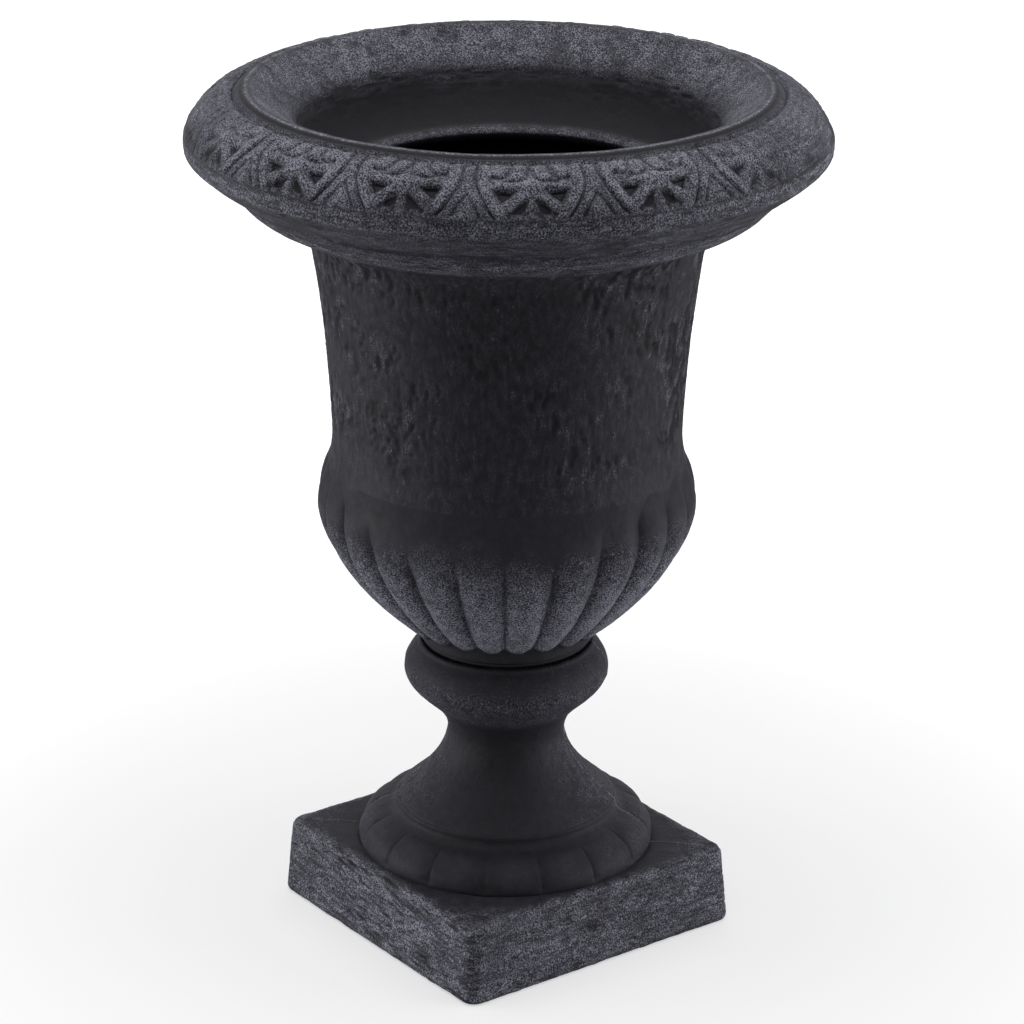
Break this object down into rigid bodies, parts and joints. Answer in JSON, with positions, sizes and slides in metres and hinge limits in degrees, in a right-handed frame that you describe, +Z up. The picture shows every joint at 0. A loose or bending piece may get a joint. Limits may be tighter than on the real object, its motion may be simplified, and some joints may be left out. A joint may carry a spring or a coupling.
{
  "type": "urn planter",
  "caption": "Footed garden urn planter: a campana vase with a gadrooned bowl and rolled rim, bolted to a stem on a lobed foot and square plinth, with a drain plug.",
  "frame": {"origin": "centre of the plinth's underside, on the ground", "axes": "+Z up along the urn's axis; the plinth's sides face X and Y"},
  "size_m": [0.4012, 0.4012, 0.56],
  "materials": {
    "stone_resin": "charcoal moulded resin with a fine stone grain, pits and scratches",
    "black_rubber": "matt black rubber",
    "zinc_steel": "zinc plated steel, slightly dull"
  },
  "bodies": {
    "urn": {"pedestal_shell": "stone_resin", "seat_gasket": "black_rubber", "vase_shell": "stone_resin", "bolt_seal": "black_rubber", "bolt_washer": "zinc_steel", "tie_bolt": "zinc_steel", "nut_washer": "zinc_steel", "hex_nut": "zinc_steel"},
    "plug": {"drain_plug": "black_rubber"}
  },
  "joints": [
    {"name": "drain_plug_pull", "type": "slide", "parent": "urn", "child": "plug", "axis": [0, 0, 1], "range_m": [0, 0.02]}
  ]
}
